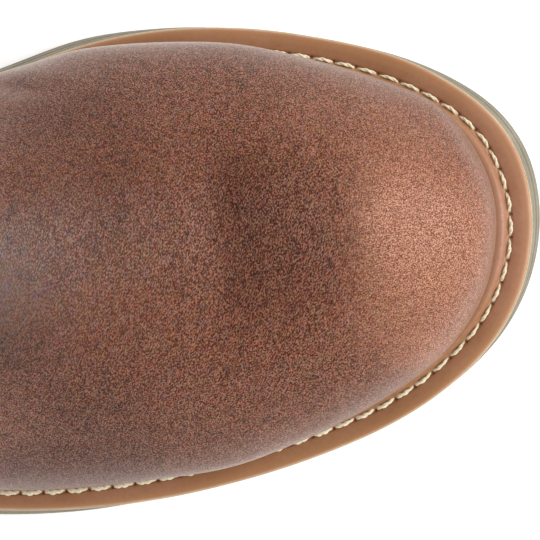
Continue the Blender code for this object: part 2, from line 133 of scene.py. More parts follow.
# Tread grooves: where the first lies, their spacing, number, sweep over the sole's half width and middle line
GROOVE_WIDTH = 4.6
GROOVE_DEPTH = 2.8
GROOVE_REACH = 80.0         # the cutting bars run out past the sole's edge
SOLE_HALF_WIDTH = 60.0
CUT_BELOW = -8.0            # cutters start under the floor
CUT_HALF_WIDTH = 90.0
GROOVE_SETS = table(
    "first pitch count sweep middle", (
    (15,   14.5, 4,    10,   -1),
    (193,  13,   8,    -15,  -4)))

# Rings of the upper from foot line to collar: back and front points in side view, middle line at the
# front, half widths of the shaft and the shaft's share in the ring's form; the first two rings follow
# the sole
RINGS = table(
    "back_x back_z front_x front_z front_y medial lateral shaft", (
    (8.5,   35.6,  299.1,  23.8,   6.6,    33,    33,     0),
    (8.5,   41.8,  299.1,  30,     6.6,    33,    33,     0),
    (6.2,   51,    298.6,  37.5,   6.4,    33,    33,     0),
    (4.8,   60,    295.6,  45.5,   6,      33,    33,     0),
    (4.2,   69,    289,    53,     5.6,    33,    33,     0),
    (4.6,   77,    277,    58.8,   5,      33,    33,     0.03),
    (5.8,   85,    260,    63.2,   4.4,    33.5,  33.5,   0.08),
    (7.4,   92.5,  240,    67.8,   3.6,    34.5,  34.5,   0.17),
    (9.2,   100.5, 217,    74.5,   2.4,    36,    36,     0.3),
    (11.2,  109,   194,    84.5,   1,      37.5,  38,     0.46),
    (13.2,  119,   173,    98.5,   -0.4,   39,    39.5,   0.65),
    (14.8,  132,   158,    117,    -1.2,   41,    41,     0.86),
    (15.4,  149,   149,    141,    -1.8,   43,    43,     1),
    (14.8,  174,   144.6,  171,    -2,     45.5,  45.5,   1),
    (13,    206,   143,    205,    -2,     48.5,  48.5,   1),
    (10.4,  241,   144,    241,    -2,     51,    51,     1),
    (8,     275,   146.5,  275,    -2,     53,    53,     1)))
TOP_RING = len(RINGS["back_x"]) - 1
LAST_RIDGE_RING = 11        # above it the ridge line turns up into the shaft
RIDGE_SLOPE = 1.45          # rise of the foot's ridge line behind that ring, and how fast it steepens
RIDGE_STEEPENING = 0.012
FINE_RINGS_FROM = 1
FINE_RINGS_TO = 9

# Side seam strip: its line in side view and its cross section
SEAM_X_BOTTOM = 96.0
SEAM_X_TOP = 80.0
SEAM_FIRST_RING = 1.0
SEAM_LAST_RING = 15.6
SEAM_SECTION = table(
    "across offset", (
    (-3.2,  0.3),
    (-2.8,  1),
    (-1.2,  1.5),
    (1.2,   1.5),
    (2.8,   1),
    (3.2,   0.3)))
SEAM_MIDDLE = 2             # the section's row beside its middle


def smooth(at, knots, values):
    """Cubic curve through the knots, with parabolic slopes."""
    steps = np.diff(knots)
    slopes = np.diff(values) / steps
    inner = (slopes[:-1] * steps[1:] + slopes[1:] * steps[:-1]) / (steps[:-1] + steps[1:])
    tangents = np.concatenate(([slopes[0]], inner, [slopes[-1]]))
    return hermite(at, knots, values, tangents)


def steady(at, knots, values):
    """Cubic curve through the knots that never swings past them."""
    slopes = np.diff(values) / np.diff(knots)
    product = slopes[:-1] * slopes[1:]
    total = np.where(np.abs(slopes[:-1] + slopes[1:]) > 0.0, slopes[:-1] + slopes[1:], 1.0)
    inner = np.where(product > 0.0, 2.0 * product / total, 0.0)
    tangents = np.concatenate(([slopes[0]], inner, [slopes[-1]]))
    return hermite(at, knots, values, tangents)


def hermite(at, knots, values, tangents):
    place = np.clip(np.searchsorted(knots, at, side="right") - 1, 0, len(knots) - 2)
    step = knots[place + 1] - knots[place]
    t = np.clip((at - knots[place]) / step, 0.0, 1.0)
    start = (1 + 2 * t) * (1 - t) ** 2 * values[place] + t * (1 - t) ** 2 * step * tangents[place]
    end = t ** 2 * (3 - 2 * t) * values[place + 1] + t ** 2 * (t - 1) * step * tangents[place + 1]
    return start + end


def around(turn, medial, lateral):
    """A plan column as a closed smooth function of the turn: 0 at the heel, pi at the toe."""
    row_turn = np.arccos(1.0 - 2.0 * PLAN["x"] / SOLE_LENGTH)
    knots = np.concatenate((row_turn, 2.0 * math.pi - row_turn[-2:0:-1]))
    values = np.concatenate((PLAN[medial], PLAN[lateral][-2:0:-1]))
    before = knots[-3:] - 2.0 * math.pi
    after = knots[:3] + 2.0 * math.pi
    knots = np.concatenate((before, knots, after))
    values = np.concatenate((values[-3:], values, values[:3]))
    return smooth(turn, knots, values)


def sole_edge(turn):
    x = SOLE_LENGTH / 2.0 * (1.0 - np.cos(turn))
    return np.stack((x, around(turn, "medial", "lateral")), axis=1)


def inset(turn, distance):
    """The sole's edge moved inward along its normals."""
    along = sole_edge(turn + NORMAL_STEP) - sole_edge(turn - NORMAL_STEP)
    along /= np.linalg.norm(along, axis=1)[:, None]
    inward = np.stack((along[:, 1], -along[:, 0]), axis=1)
    return sole_edge(turn) + inward * np.broadcast_to(distance, turn.shape)[:, None]


def reach(turn):
    return around(turn, "reach_m", "reach_l")


def foot_inset(turn):
    """From the sole's edge to the line where the upper's outside meets the midsole."""
    return reach(turn) + around(turn, "foot_m", "foot_l")


def seat(x):
    return steady(x, SOLE_SIDE["x"], SOLE_SIDE["seat"])


def tread(x):
    return steady(x, SOLE_SIDE["x"], SOLE_SIDE["tread"])


def midsole_top(x):
    return seat(x) + GAP + MIDSOLE_THICK


def behind_tip(x, turn):
    """Foot line's x, kept from running past the toe's tip."""
    toe = inset(np.array((math.pi,)), foot_inset(np.array((math.pi,))))[0, 0]
    return np.minimum(x, toe - TIP_ROUNDING * SOLE_LENGTH * (1.0 + np.cos(turn)) / 2.0)


def ring_value(name, ring):
    return smooth(ring, np.arange(TOP_RING + 1.0), RINGS[name])


class Foot:
    """Half widths and ridge of the upper's foot, as functions of x."""

    def __init__(self):
        turn = np.linspace(0.0, math.pi, FOOT_SAMPLES)
        medial = inset(turn, foot_inset(turn))
        lateral = inset(2.0 * math.pi - turn, foot_inset(2.0 * math.pi - turn))
        lateral[:, 0] = behind_tip(lateral[:, 0], turn)
        self.medial = medial
        self.lateral = lateral
        self.bulge_medial = np.maximum(around(turn, "bulge_m", "bulge_l"), 0.0)
        self.bulge_lateral = np.maximum(around(2.0 * math.pi - turn, "bulge_m", "bulge_l"), 0.0)
        ring = np.linspace(FINE_RINGS_FROM, LAST_RIDGE_RING, RIDGE_SAMPLES)
        self.ridge_x = ring_value("front_x", ring)[::-1]
        self.ridge_z = ring_value("front_z", ring)[::-1]
        self.ridge_y = ring_value("front_y", ring)[::-1]

    def side(self, x, on_medial):
        line = self.medial if on_medial else self.lateral
        return np.interp(x, line[:, 0], line[:, 1])

    def bulge(self, x, on_medial):
        if on_medial:
            return np.interp(x, self.medial[:, 0], self.bulge_medial)
        return -np.interp(x, self.lateral[:, 0], self.bulge_lateral)

    def ridge(self, x):
        behind = np.maximum(self.ridge_x[0] - x, 0.0)
        return np.interp(x, self.ridge_x, self.ridge_z) + behind * (RIDGE_SLOPE + RIDGE_STEEPENING * behind)

    def middle(self, x):
        return np.interp(x, self.ridge_x, self.ridge_y)


FOOT = Foot()


def upper_ring(ring, turn):
    """Points of the upper's outside on one ring; ring 0 is the foot line and TOP_RING the collar."""
    foot_line = inset(turn, foot_inset(turn))
    heel = FOOT.medial[0, 0]
    toe = FOOT.medial[-1, 0]
    share = np.clip((behind_tip(foot_line[:, 0], turn) - heel) / (toe - heel), 0.0, 1.0)
    on_medial = np.sin(turn) >= 0.0
    back_x = ring_value("back_x", ring)
    front_x = ring_value("front_x", ring)
    shaft = ring_value("shaft", ring)
    x = back_x + (front_x - back_x) * share
    if ring <= FINE_RINGS_FROM:
        x = foot_line[:, 0]
        z = midsole_top(x) + GAP + FEATHER_RISE * ring
        return np.stack((x, foot_line[:, 1], z), axis=1)
    base = midsole_top(x) + GAP
    back_lift = ring_value("back_z", ring) - (midsole_top(back_x) + GAP)
    front_lift = ring_value("front_z", ring) - (midsole_top(front_x) + GAP)
    along_sole = base + back_lift + (front_lift - back_lift) * share
    level = ring_value("back_z", ring) + (ring_value("front_z", ring) - ring_value("back_z", ring)) * share
    z = along_sole * (1.0 - shaft) + level * shaft

    foot_x = x + (heel - back_x) * (1.0 - share)
    height = np.maximum(FOOT.ridge(x) - base - FEATHER_RISE, LEAST_HEIGHT)
    risen = np.clip((z - base - FEATHER_RISE) / height, 0.0, 1.0)
    risen[share >= 1.0] = 1.0
    section = (1.0 - risen ** SECTION_POWER) ** (1.0 / SECTION_ROOT)
    swell = risen / BULGE_HEIGHT * np.exp(1.0 - risen / BULGE_HEIGHT)
    y = np.zeros_like(x)
    for medial, half in ((True, "medial"), (False, "lateral")):
        pick = on_medial == medial
        middle = FOOT.middle(x[pick])
        edge = FOOT.side(foot_x[pick], medial) + FOOT.bulge(foot_x[pick], medial) * swell[pick]
        foot_y = middle + (edge - middle) * section[pick]
        sign = 1.0 if medial else -1.0
        oval = 2.0 * np.sqrt(share[pick] * (1.0 - share[pick]))
        shaft_y = SHAFT_AXIS_Y + sign * ring_value(half, ring) * oval
        y[pick] = foot_y * (1.0 - shaft) + shaft_y * shaft
    return np.stack((x, y, z), axis=1)


# The wall of the outsole with the fine lines that run along it: drop under the seat, share of the way out
# from the midsole's edge, and depth cut into it
OUTSOLE_WALL = table(
    "drop lean  cut", (
    (0,   0,    0.35),
    (0.2, 0.05, 0.1),
    (0.5, 0.15, 0),
    (1.3, 0.25, 0),
    (1.5, 0.28, 0.22),
    (1.7, 0.31, 0),
    (2.6, 0.45, 0),
    (3,   0.5,  0.5),
    (3.8, 0.6,  0.5),
    (4.2, 0.65, 0),
    (5.2, 0.8,  0),
    (5.4, 0.83, 0.22),
    (5.6, 0.86, 0),
    (6.4, 0.98, 0),
    (6.7, 1,    0.15),
    (7.2, 1,    0.9)))
TREAD_EDGE_RISE = 0.9       # bevel around the tread
TREAD_EDGE_CUT = 1.0
TREAD_FOOT_CUT = 1.9
MIDSOLE_EDGE = 0.35         # rounding of the midsole's edges

# Cross section of the welt with its rounded rib and sewing groove: inner is 1 where the inset runs outward
# from the welt's inner edge and 0 where it runs inward from the outer one; heights are over the midsole
WELT_SECTION = table(
    "inner inset  height", (
    (0,    0,     0.3),
    (0,    0,     2.6),
    (0,    0.12,  3),
    (0,    0.45,  3.3),
    (0,    1,     3.42),
    (1,    4,     3.6),
    (1,    3.55,  3.5),
    (1,    3.3,   3.25),
    (1,    3.1,   2.98),
    (1,    2.85,  2.88),
    (1,    2.6,   2.92),
    (1,    2.35,  3.25),
    (1,    2.1,   3.85),
    (1,    1.8,   4.5),
    (1,    1.4,   5.05),
    (1,    1,     5.38),
    (1,    0.65,  5.52),
    (1,    0.3,   5.55),
    (1,    -0.05, 5.5),
    (1,    -0.28, 5.45),
    (1,    -0.28, 4.6),
    (1,    0,     0.3)))
STITCH_LINE = 3.0           # from the welt's inner edge to the middle of the groove in the section above
STITCH_PITCH = 5.4
GROOVE_FLOOR = 2.75         # height of the sewing groove over the midsole

# Where the sewing runs on the boot: distance from the welt's inner edge on both sides, and how thick its
# thread is there
SEWING = table(
    "x      medial lateral bold_m bold_l", (
    (0,     2.5,   2.5,    1,     1),
    (145,   2.5,   2.5,    0.95,  1.1),
    (183,   2.6,   2.3,    0.9,   1.15),
    (202,   2.6,   1.95,   0.85,  1.12),
    (221,   2.6,   1.9,    0.85,  1.05),
    (240,   2.6,   2,      0.85,  1.05),
    (258,   2.85,  2.05,   0.8,   1.05),
    (277,   2.6,   2.3,    0.72,  1),
    (291,   2.75,  2.45,   0.75,  0.85),
    (301,   3,     2.5,    0.78,  0.78),
    (306.5, 2.85,  2.65,   0.8,   0.8),
    (310,   3.05,  3.05,   0.8,   0.8)))

# Collar binding: offset from the upper's outside and height over the collar
BINDING_SECTION = table(
    "offset height", (
    (0.3,   -13),
    (1.35,  -13),
    (1.5,   -12.7),
    (1.6,   -6),
    (1.6,   -0.5),
    (1.35,  0.6),
    (0.7,   1.4),
    (-0.2,  1.7),
    (-2.2,  1.7),
    (-3.1,  1.4),
    (-3.75, 0.6),
    (-4,    -0.5),
    (-3.95, -6),
    (-3.9,  -12.7),
    (-3.75, -13),
    (-2.7,  -13),
    (-2.7,  0.3),
    (0.3,   0.3)))
BINDING_RINGS = 0.4         # rings below the collar that give the shaft's direction
BINDING_SEWING = -10.5      # height of the sewing under the collar
SEAM_SEWING = 2.0           # from the strip's middle to each row of sewing

# Soft creases of the leather: ring and turn of the middle, spread along both and depth
CREASES = table(
    "ring   turn high  wide depth", (
    (10.2,  180, 0.3,  34,  0.6),
    (11.05, 186, 0.32, 44,  1.1),
    (11.95, 176, 0.34, 40,  0.9),
    (11.5,  118, 0.3,  26,  0.5),
    (11.4,  244, 0.3,  26,  0.5),
    (12.5,  4,   0.3,  40,  0.8),
    (13.2,  -6,  0.25, 34,  0.5)))

# Soft folds of the vamp in plan: middle, direction across the fold in degrees, half sizes and depth;
# a ridge, such as the edge of the toe's stiffener, has a depth below zero
FOLDS = table(
    "x    y     turned across along depth", (
    (234, 2,    0,     7,     22,   0.4),
    (267, 2,    6,     8,     17,   -0.25),
    (187, 36.5, 82,    3,     11,   0.4)))

# Places of the leather with worn warm colour and a painted highlight, burnished dark colour and painted
# shade,
# a painted reflection, and smoothed grain: middle and spread in plan, and their strength; a strength below
# zero takes some away
TONES = table(
    "x      y    long wide warm  dark  haze  flat", (
    (275.5, 6,   9,   13,  0.45, 0,    0,    0.1),
    (282,   3,   19,  25,  0.6,  0,    0,    0.16),
    (280,   -19, 21,  14,  0.32, 0,    0,    0),
    (284,   -26, 8,   6,   0.35, 0,    0,    0),
    (264,   31,  24,  16,  0.34, 0,    0,    0),
    (290,   2,   8,   14,  0.22, 0,    0,    0),
    (301,   -6,  7,   24,  0.28, 0,    0,    0),
    (293,   -21, 6,   8,   0.2,  0,    0,    0),
    (241,   4,   7,   20,  0,    0.5,  0,    0),
    (250,   3,   12,  20,  0,    0.55, 0,    0),
    (237,   14,  6,   8,   0,    0.42, 0,    0),
    (262,   -6,  6,   12,  0,    0.2,  0,    0),
    (239,   -14, 6,   6,   0,    0.25, 0,    0),
    (198,   -40, 26,  21,  0,    0.6,  0.15, 0),
    (182,   -11, 15,  16,  0,    0.25, 0.48, 0.4),
    (185,   -5,  24,  30,  0,    0,    0.15, 0.25),
    (187,   33,  9,   2.5, 0.3,  0,    0,    0),
    (186,   38,  9,   2,   0,    0.25, 0,    0),
    (200,   31,  22,  7,   0.1,  0.3,  0,    0),
    (198,   13,  20,  25,  0,    0.52, 0.1,  0),
    (216,   3,   14,  15,  0,    0.28, 0,    0),
    (212,   2,   24,  26,  0,    0,    0,    0.25),
    (188,   -22, 8,   7,   0,    0.45, 0,    0),
    (189,   -40, 9,   7,   0.25, -0.3, 0,    0),
    (195,   -54, 36,  8,   0,    0.55, 0,    0),
    (258,   -42, 32,  7,   0.22, 0.3,  0,    0)))
TONE_PLACE = ("x", "y", "long", "wide")
TONE_NAMES = ("warm", "dark", "haze", "flat")

PACKED_STATIONS = 60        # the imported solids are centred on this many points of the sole's edge
SMOOTH_TO = 40.0            # usual angle in degrees up to which faces are shaded as one surface
EDGE_ROUNDING = 0.3         # how far the middle of a rounded edge is cut back, as a share of its rounding


def turns(count):
    return np.arange(count) * 2.0 * math.pi / count


def packed_middle():
    edge = sole_edge(turns(PACKED_STATIONS))
    middle = (edge.max(axis=0) + edge.min(axis=0)) / 2.0
    return np.array((middle[0], middle[1], 0.0))


MIDDLE = packed_middle()
TURNS = turns(STATIONS)


def put(name, data):
    """A new object in the scene."""
    piece = bpy.data.objects.new(name, data)
    bpy.context.scene.collection.objects.link(piece)
    return piece


def smooth_shade(mesh, smooth_to):
    mesh.shade_smooth()
    mesh.set_sharp_from_angle(angle=math.radians(smooth_to))


def add_mesh(name, points, faces, smooth_to=SMOOTH_TO):
    """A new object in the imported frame's place, smooth up to the given angle."""
    mesh = bpy.data.meshes.new(name)
    mesh.from_pydata(((np.asarray(points) - MIDDLE) * MM).tolist(), [], faces)
    shape = bmesh.new()
    shape.from_mesh(mesh)
    bmesh.ops.recalc_face_normals(shape, faces=shape.faces)
    shape.to_mesh(mesh)
    shape.free()
    smooth_shade(mesh, smooth_to)
    return put(name, mesh)


def ring_faces(count, around_count, closed_rows=False):
    """Quads between rows of points; each row is a closed ring."""
    faces = []
    for row in range(count if closed_rows else count - 1):
        low = row * around_count
        high = (row + 1) % count * around_count
        for place in range(around_count):
            beside = (place + 1) % around_count
            faces.append((low + place, high + place, high + beside, low + beside))
    return faces


def cap_faces(first, count):
    """Strips across a plan loop, from the medial to the lateral side."""
    faces = [(first, first + 1, first + count - 1)]
    half = count // 2
    for place in range(1, half - 1):
        faces.append((first + place, first + place + 1, first + count - place - 1, first + count - place))
    faces.append((first + half - 1, first + half, first + half + 1))
    return faces


def tube_faces(count, around_count):
    """Quads between rings of points and one flat face at each end."""
    end = (count - 1) * around_count
    caps = [tuple(range(first, first + around_count)) for first in (0, end)]
    return ring_faces(count, around_count) + caps


def slab(name, rings, smooth_to=SMOOTH_TO):
    """A closed body between the plan loops of its first and last ring."""
    around_count = len(rings[0])
    faces = ring_faces(len(rings), around_count)
    faces += cap_faces(0, around_count)
    faces += cap_faces((len(rings) - 1) * around_count, around_count)
    return add_mesh(name, np.concatenate(rings), faces, smooth_to)


def loft(name, rings, smooth_to=SMOOTH_TO):
    """A closed body over a row of rings with flat ends."""
    return add_mesh(name, np.concatenate(rings), tube_faces(len(rings), len(rings[0])), smooth_to)


def hoop(name, rings):
    """A band around the boot; the rings are the corners of its cross section."""
    return add_mesh(name, np.concatenate(rings), ring_faces(len(rings), STATIONS, True), smooth_to=60.0)


def over(plan, height, level=midsole_top):
    """Plan points at a height over the midsole, or over another level of the sole."""
    return np.column_stack((plan, level(plan[:, 0]) + height))


def unit(vectors):
    return vectors / np.linalg.norm(vectors, axis=-1, keepdims=True)


def arch_cutter():
    """The space under the waist, drawn in side view and run across the whole sole."""
    sides = [np.full(len(ARCH["x"]), y) for y in (-CUT_HALF_WIDTH, CUT_HALF_WIDTH)]
    return loft("arch_cutter", [np.column_stack((ARCH["x"], side, ARCH["z"])) for side in sides])


def groove_cutters():
    """The tread grooves: swept bars across the tread."""
    bars = []
    for first, pitch, count, sweep, middle in zip(*GROOVE_SETS.values()):
        swept = sweep * GROOVE_REACH / SOLE_HALF_WIDTH
        inner = middle + GROOVE_REACH
        outer = middle - GROOVE_REACH
        for place in range(int(count)):
            x = first + pitch * place
            back = x - GROOVE_WIDTH / 2.0
            front = x + GROOVE_WIDTH / 2.0
            outline = np.array(((back, middle), (back + swept, inner), (front + swept, inner),
                                (front, middle), (front + swept, outer), (back + swept, outer)))
            bottom = np.full(len(outline), CUT_BELOW)
            roof = tread(outline[:, 0]) + GROOVE_DEPTH
            bars.append(loft("groove_bar", [np.column_stack((outline, level)) for level in (bottom, roof)]))
    return bars


def make_outsole():
    rings = []
    for drop, lean, depth in zip(*OUTSOLE_WALL.values()):
        rings.append(over(inset(TURNS, reach(TURNS) * (1.0 - lean) + depth), -drop, seat))
    for rise, depth in ((TREAD_EDGE_RISE, TREAD_EDGE_CUT), (0.0, TREAD_FOOT_CUT)):
        rings.append(over(inset(TURNS, depth), rise, tread))
    piece = slab("outsole_rubber_body", rings)
    cutters = [arch_cutter()] + groove_cutters()
    for cutter in cutters:
        change = piece.modifiers.new("cut", "BOOLEAN")
        change.operation = "DIFFERENCE"
        change.solver = "EXACT"
        change.object = cutter
    ready = piece.evaluated_get(bpy.context.evaluated_depsgraph_get())
    mesh = bpy.data.meshes.new_from_object(ready)
    piece.modifiers.clear()
    piece.data = mesh
    smooth_shade(mesh, smooth_to=32.0)
    for cutter in cutters:
        bpy.data.objects.remove(cutter)
    return piece


def rounded_top(edge, thick):
    """Depth and height of the points around a slab's rounded upper edge."""
    middle = edge * EDGE_ROUNDING
    return (0.0, thick - edge), (middle, thick - middle), (edge, thick)


def make_midsole():
    edge = reach(TURNS)
    rings = []
    foot = ((MIDSOLE_EDGE, 0.0), (0.0, MIDSOLE_EDGE))
    for depth, height in (*foot, *rounded_top(MIDSOLE_EDGE, MIDSOLE_THICK)):
        rings.append(over(inset(TURNS, edge + depth), GAP + height, seat))
    return slab("midsole_edge_band", rings)


def make_insole():
    edge = foot_inset(TURNS) + UPPER_WALL + GAP
    rings = []
    for depth, height in ((0.0, GAP), *rounded_top(INSOLE_EDGE, INSOLE_THICK)):
        rings.append(over(inset(TURNS, edge + depth), height))
    return slab("insole_sock", rings, smooth_to=70.0)


def closed(line):
    """A line that comes back to its first point."""
    return np.concatenate((line, line[:1]))


def line_lengths(line):
    """Length along a line up to each of its points."""
    return np.concatenate(([0.0], np.cumsum(np.linalg.norm(np.diff(line, axis=0), axis=1))))


def points_at(at, places, points):
    """Points between those of a line that has a place for each of them."""
    return np.stack([np.interp(at, places, points[:, axis]) for axis in range(3)], axis=1)


def add_uv(piece, rows_u, rows_v, count):
    """UV map over rows of closed rings; u runs on past the last place."""
    layer = piece.data.uv_layers.new(name="along")
    for face in piece.data.polygons:
        corners = [piece.data.loops[loop].vertex_index for loop in face.loop_indices]
        places = [corner % count for corner in corners]
        wraps = max(places) - min(places) > 1
        for loop, corner, at in zip(face.loop_indices, corners, places):
            row = corner // count
            layer.data[loop].uv = (rows_u[count if wraps and at == 0 else at], rows_v[row][at])


def sewing_value(medial, lateral):
    """A pair of columns of the sewing's table, all round."""
    x = SOLE_LENGTH / 2.0 * (1.0 - np.cos(TURNS))
    inner = steady(x, SEWING["x"], SEWING[medial])
    outer = steady(x, SEWING["x"], SEWING[lateral])
    return np.where(TURNS <= math.pi, inner, outer)


def sewing_inset():
    """From the welt's inner edge to the sewing."""
    return sewing_value("medial", "lateral")


def sewing_line(height):
    return over(inset(TURNS, foot_inset(TURNS) - GAP - sewing_inset()), height)


def stitch_count():
    lengths = line_lengths(closed(sewing_line(GROOVE_FLOOR)))
    return round(lengths[-1] / STITCH_PITCH), lengths


def make_welt():
    outer = reach(TURNS) + WELT_SETBACK
    inner = foot_inset(TURNS) - GAP
    rings = []
    from_inside = []
    shift = sewing_inset() - STITCH_LINE
    for inside, distance, height in zip(*WELT_SECTION.values()):
        moved = distance + shift * min(max(distance / STITCH_LINE, 0.0), 1.0)
        depth = inner - moved if inside else outer + distance
        rings.append(over(inset(TURNS, depth), height))
        from_inside.append(np.full(STATIONS, distance) if inside else inner - depth - shift)
    piece = hoop("welt_strip", rings)
    count, lengths = stitch_count()
    add_uv(piece, lengths / lengths[-1] * count, from_inside, STATIONS)
    return piece


FEATHER_RINGS = (0.0, 0.5, 1.0)
RING_STEP_FINE = 0.1        # on the foot, and then up the shaft
RING_STEP_COARSE = 0.2
CREASES_FROM = 1.5          # rings in which the creases grow above the feather and fade under the collar
CREASES_TO = 1.0
UNDULATION = 0.22           # the leather's slow unevenness, and its length
UNDULATION_LENGTH = 16.0


def upper_places():
    fine = np.arange(FINE_RINGS_FROM + RING_STEP_FINE, FINE_RINGS_TO, RING_STEP_FINE)
    coarse = np.arange(FINE_RINGS_TO, TOP_RING + RING_STEP_COARSE / 2.0, RING_STEP_COARSE)
    return np.concatenate((FEATHER_RINGS, fine, np.minimum(coarse, TOP_RING)))


def outward(grid):
    """Unit normals of rings of points."""
    along = np.roll(grid, -1, axis=1) - np.roll(grid, 1, axis=1)
    return unit(np.cross(np.gradient(grid, axis=0), along) + 1e-9)


def trough(across, along):
    """A soft trough of depth 1 with low shoulders."""
    return (across ** 2 - 1.0) * np.exp(-across ** 2 - along ** 2)


def crease_depth(ring, turn):
    """The listed creases, put down on the rings of the upper."""
    total = np.zeros(np.broadcast(ring, turn).shape)
    for middle, angle, ring_spread, turn_spread, depth in zip(*CREASES.values()):
        off = (np.degrees(turn) - angle + 180.0) % 360.0 - 180.0
        total += depth * trough((ring - middle) / ring_spread, off / turn_spread)
    return total


def fold_depth(points):
    """The vamp's listed folds, put down in plan."""
    total = np.zeros(points.shape[:-1])
    for x, y, turned, across, along, depth in zip(*FOLDS.values()):
        angle = math.radians(turned)
        away_x = points[..., 0] - x
        away_y = points[..., 1] - y
        first = (away_x * math.cos(angle) + away_y * math.sin(angle)) / across
        second = (away_y * math.cos(angle) - away_x * math.sin(angle)) / along
        total += depth * trough(first, second)
    return total


def unevenness(points):
    flat = points.reshape(-1, 3) / UNDULATION_LENGTH
    values = [noise.noise(Vector(point)) for point in flat]
    return np.array(values).reshape(points.shape[:-1])


def upper_grid():
    places = upper_places()
    grid = np.stack([upper_ring(ring, TURNS) for ring in places])
    free = np.clip((places - FINE_RINGS_FROM) / CREASES_FROM, 0.0, 1.0)
    free *= np.clip((TOP_RING - places) / CREASES_TO, 0.0, 1.0)
    move = crease_depth(places[:, None], TURNS[None, :]) + fold_depth(grid) + UNDULATION * unevenness(grid)
    return places, grid + outward(grid) * (move * free[:, None])[:, :, None]


TAUT_FROM = 0.55            # upward part of the surface normal where the leather begins to be pulled smooth and to take a painted pale sheen
TAUT_FULL = 0.12
TAUT_TOP = 100.0            # this reaches up to here, and fades over the height below it
TAUT_FADE = 30.0


def add_value(piece, name, values):
    layer = piece.data.attributes.new(name, "FLOAT", "POINT")
    layer.data.foreach_set("value", values.ravel())


def add_tones(piece, points):
    """How far each point of the leather is worn warm with a painted highlight, burnished dark with painted
    shade, painted with a reflection, and flat.
    """
    x = points[:, 0]
    y = points[:, 1]
    for name in TONE_NAMES:
        total = np.zeros(len(points))
        for at_x, at_y, spread_x, spread_y, strength in zip(*(TONES[key] for key in (*TONE_PLACE, name))):
            total += strength * np.exp(-((x - at_x) / spread_x) ** 2 - ((y - at_y) / spread_y) ** 2)
        add_value(piece, name, total)


def add_taut(piece, grid):
    """How far the leather is drawn smooth over the edge of the last, low on the foot, where its steep sides
    also take a painted pale sheen.
    """
    steep = np.clip((TAUT_FROM - outward(grid)[:, :, 2]) / (TAUT_FROM - TAUT_FULL), 0.0, 1.0)
    low = np.clip((TAUT_TOP - grid[:, :, 2]) / TAUT_FADE, 0.0, 1.0)
    add_value(piece, "taut", steep * low)


def make_upper(grid):
    points = grid.reshape(-1, 3)
    piece = add_mesh("upper_leather_body", points, ring_faces(len(grid), STATIONS), smooth_to=80.0)
    add_tones(piece, points)
    add_taut(piece, grid)
    wall = piece.modifiers.new("leather_wall", "SOLIDIFY")
    wall.thickness = UPPER_WALL * MM
    wall.offset = -1.0
    wall.material_offset = 1
    return piece


def collar_frame():
    """Points of the collar with the directions up along the shaft and out of it."""
    collar = upper_ring(float(TOP_RING), TURNS)
    up = unit(collar - upper_ring(TOP_RING - BINDING_RINGS, TURNS))
    out = unit(np.cross(up, np.roll(collar, -1, axis=0) - np.roll(collar, 1, axis=0)))
    return collar, up, out


def make_binding():
    collar, up, out = collar_frame()
    rings = [collar + out * offset + up * height for offset, height in zip(*BINDING_SECTION.values())]
    return hoop("collar_binding_band", rings)


def seam_lines(places, grid, on_medial):
    """Points over the leather for each column of the strip's section, and the direction out of it."""
    half = STATIONS // 2
    columns = np.concatenate((SEAM_SECTION["across"], (-SEAM_SEWING, SEAM_SEWING)))
    rows = []
    for ring, points in zip(places, grid):
        if SEAM_FIRST_RING <= ring <= SEAM_LAST_RING:
            line = points[:half + 1] if on_medial else closed(points)[half:][::-1]
            share = (ring - SEAM_FIRST_RING) / (SEAM_LAST_RING - SEAM_FIRST_RING)
            x = SEAM_X_BOTTOM + (SEAM_X_TOP - SEAM_X_BOTTOM) * share
            rows.append(points_at(x + columns, line[:, 0], line))
    rows = np.stack(rows)
    up = np.gradient(rows[:, SEAM_MIDDLE], axis=0)
    along = rows[:, SEAM_MIDDLE + 1] - rows[:, SEAM_MIDDLE]
    out = unit(np.cross(up, along)) * (1.0 if on_medial else -1.0)
    return rows, out


def make_side_seam(side, rows, out):
    count = len(SEAM_SECTION["across"])
    body = rows[:, :count] + out[:, None, :] * SEAM_SECTION["offset"][None, :, None]
    return loft("side_seam_strip_" + side, body, smooth_to=75.0)


THREAD_STEPS = 20           # along one stitch
THREAD_SIDES = 6
THREAD_PLIES = 2
STITCH_FROM = 0.06          # ends of a stitch as shares of the pitch, and how far it strays along the line
STITCH_TO = 0.94
STITCH_STRAY = 0.02
STITCH_ARC = 0.55           # power of its arc; a low one has steep ends
STITCH_SUNK = 0.55          # share of its rise that the whole stitch lies lower
BOW_SKEW = 1.2              # over 1, the bow is widest past the stitch's middle
LEAST_BOLD = 0.93           # how far the thickness of single stitches differs
MOST_BOLD = 1.07

# Thickness of a stitch along its length
STITCH_FORM = table(
    "share thick", (
    (0,    0.35),
    (0.15, 0.7),
    (0.45, 1),
    (0.75, 1.05),
    (0.9,  0.95),
    (1,    0.55)))

# Threads of the welt and the trim: radius of a ply and its distance from the thread's middle, rise of a
# stitch, turns of its twist, its bow to one side and how far that differs
THREADS = table(
    "radius offset rise  twists bow   waver", (
    (0.42,  0.2,   1.15, 1.5,   0.22, 0.12),
    (0.2,   0.14,  0.3,  1.5,   0,    0.05)))
WELT_THREAD = 0             # rows of the table above
TRIM_THREAD = 1


def around_axis(side, lift, angle):
    """Steps away from an axis at the given angles."""
    return side * np.cos(angle)[..., None] + lift * np.sin(angle)[..., None]


